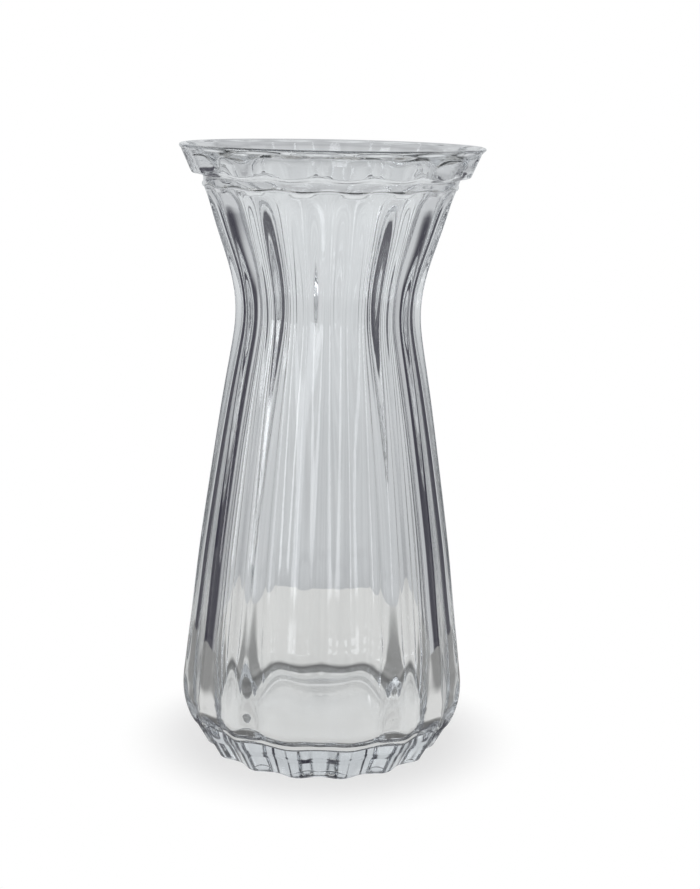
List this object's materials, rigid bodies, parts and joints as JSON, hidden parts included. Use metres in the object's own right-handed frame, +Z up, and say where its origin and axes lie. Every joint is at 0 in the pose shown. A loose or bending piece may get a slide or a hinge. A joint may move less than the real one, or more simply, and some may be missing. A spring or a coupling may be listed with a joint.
{
  "type": "flower vase",
  "caption": "Tall clear glass flower vase with a narrow waist, soft vertical flutes, a scooped collar and a wide round mouth, which stands free and holds cut stems.",
  "frame": {"origin": "middle of the face that the vase stands on, on the vase's own axis", "axes": "+Z up along the vase's axis from foot to mouth; -Y towards the viewer, through the middle of a flute; +X to the viewer's right"},
  "size_m": [0.1198, 0.1198, 0.2415],
  "materials": {
    "clear_glass": "gloss"
  },
  "bodies": {
    "root": {"vase": "clear_glass"}
  },
  "joints": []
}
